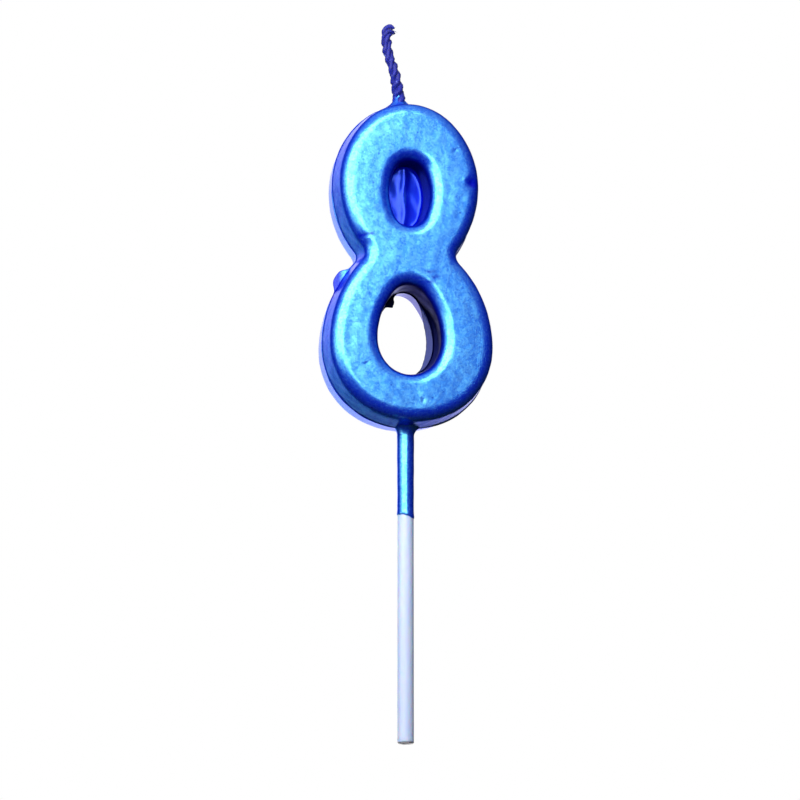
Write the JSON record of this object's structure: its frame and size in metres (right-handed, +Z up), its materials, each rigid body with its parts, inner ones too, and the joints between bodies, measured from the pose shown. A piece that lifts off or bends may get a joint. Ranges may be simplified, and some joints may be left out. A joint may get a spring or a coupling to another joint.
{
  "type": "number birthday candle",
  "caption": "Moulded wax birthday candle shaped as an 8, with a metallic blue coat, a short cotton wick and a white plastic cake stick.",
  "frame": {"origin": "middle of the stick's lower end, the end that is pushed into the cake", "axes": "+Z up along the stick towards the wick; the numeral's front faces -Y; +X is to the right as its front is read"},
  "size_m": [0.0232, 0.01, 0.0988],
  "materials": {
    "wax": "dyed paraffin wax, hidden under the coat",
    "lacquer": "metallic flake lacquer, satin, with a fine orange peel",
    "cotton": "twisted cotton yarn soaked in the blue coat",
    "stick_plastic": "translucent moulded polypropylene"
  },
  "bodies": {
    "root": {"candle_wax": "wax", "body_lacquer": "lacquer", "wick": "cotton", "stick": "stick_plastic", "stick_lacquer": "lacquer"}
  },
  "joints": []
}
